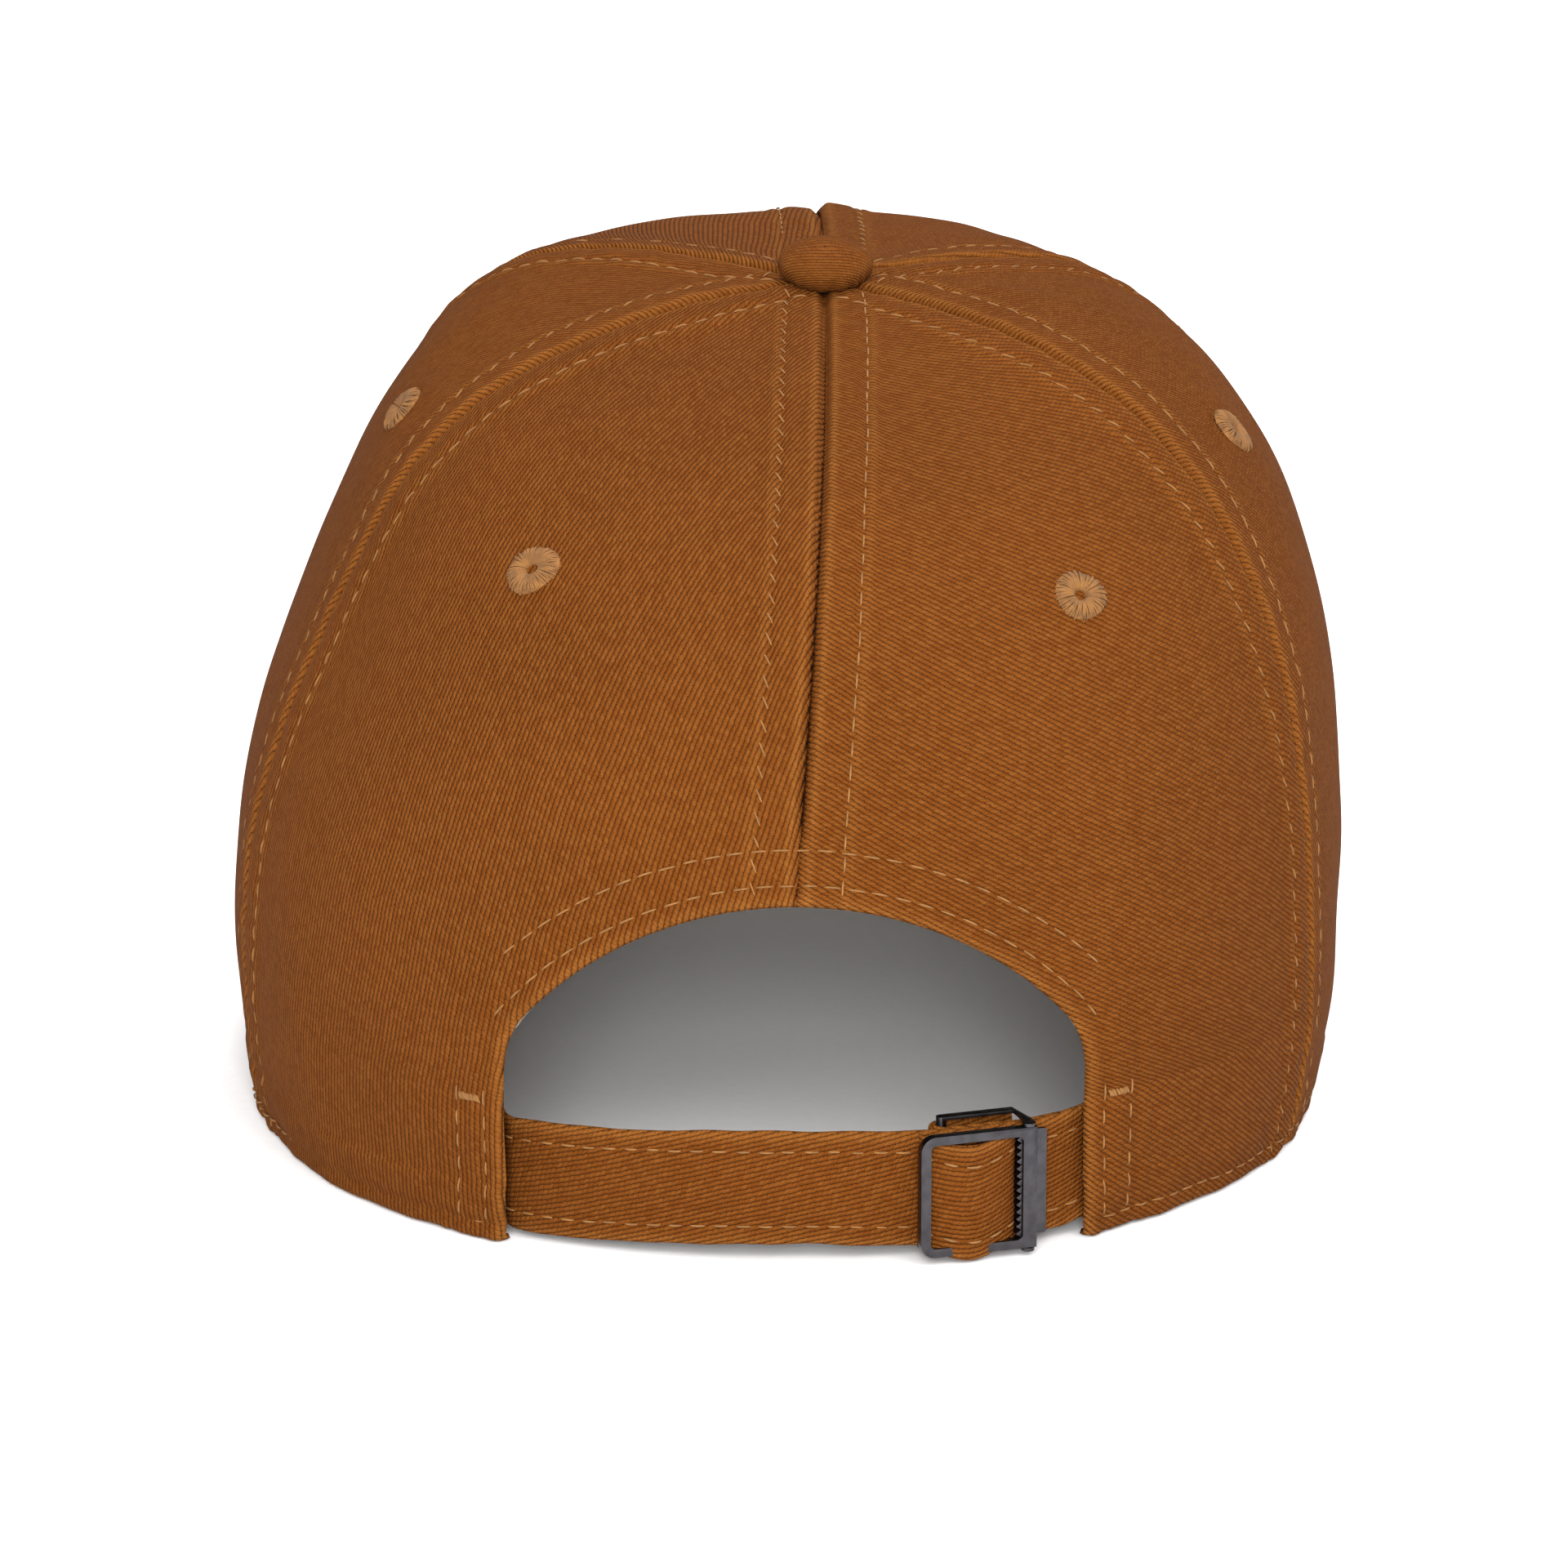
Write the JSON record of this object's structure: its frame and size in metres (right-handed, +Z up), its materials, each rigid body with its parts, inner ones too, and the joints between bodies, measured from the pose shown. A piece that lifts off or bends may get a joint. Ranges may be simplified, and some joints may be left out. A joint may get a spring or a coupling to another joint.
{
  "type": "baseball cap",
  "caption": "Structured baseball cap with sewn crown panels, a curved visor, a covered button, stitched eyelets and a back strap closed by a toothed flip-clamp buckle.",
  "frame": {"origin": "centre of the head opening, on the plane of the hem that the cap rests on", "axes": "+Z up out of the head opening towards the button, -Y forwards along the visor, +X to the wearer's left"},
  "size_m": [0.1814, 0.2663, 0.1357],
  "materials": {
    "canvas": "brushed cotton twill",
    "thread": "embroidery thread with a soft sheen",
    "tape": "woven cotton binding tape",
    "buckram": "stiff open-weave buckram",
    "sweatband_cloth": "fine cotton twill",
    "foam": "felted padding",
    "board": "plain moulded board",
    "gunmetal": "polished black nickel plating",
    "button_steel": "plain stamped steel"
  },
  "bodies": {
    "cap_body": {"back_panel_right": "canvas", "back_panel_left": "canvas", "side_panel_right": "canvas", "side_panel_left": "canvas", "front_panel_right": "canvas", "front_panel_left": "canvas", "back_seam_tape": "tape", "front_seam_tape": "tape", "back_side_seam_tape_right": "tape", "back_side_seam_tape_left": "tape", "front_side_seam_tape_right": "tape", "front_side_seam_tape_left": "tape", "back_eyelet_right": "thread", "back_eyelet_left": "thread", "side_eyelet_right": "thread", "side_eyelet_left": "thread", "front_eyelet_right": "thread", "front_eyelet_left": "thread", "arch_facing": "canvas", "buckram_right": "buckram", "buckram_left": "buckram", "sweatband": "sweatband_cloth", "sweatband_pad": "foam", "visor_board": "board", "visor_top_cover": "canvas", "visor_under_cover": "canvas", "button_cover": "canvas", "button_shell": "button_steel", "button_tack": "button_steel", "long_strap": "canvas"},
    "buckle": {"buckle_base": "gunmetal", "short_strap": "canvas", "hinge_pins": "gunmetal"},
    "clamp_frame": {"clamp_frame": "gunmetal"}
  },
  "joints": [
    {"name": "strap_adjust", "type": "hinge", "parent": "cap_body", "child": "buckle", "pos_m": [0, 0.013, 0.0111], "axis": [0, 0, 1], "range_deg": [-35, 2]},
    {"name": "clamp_flip", "type": "hinge", "parent": "buckle", "child": "clamp_frame", "pos_m": [-0.03483, 0.09205, 0.01115], "axis": [0, 0, 1], "range_deg": [0, 100]}
  ]
}
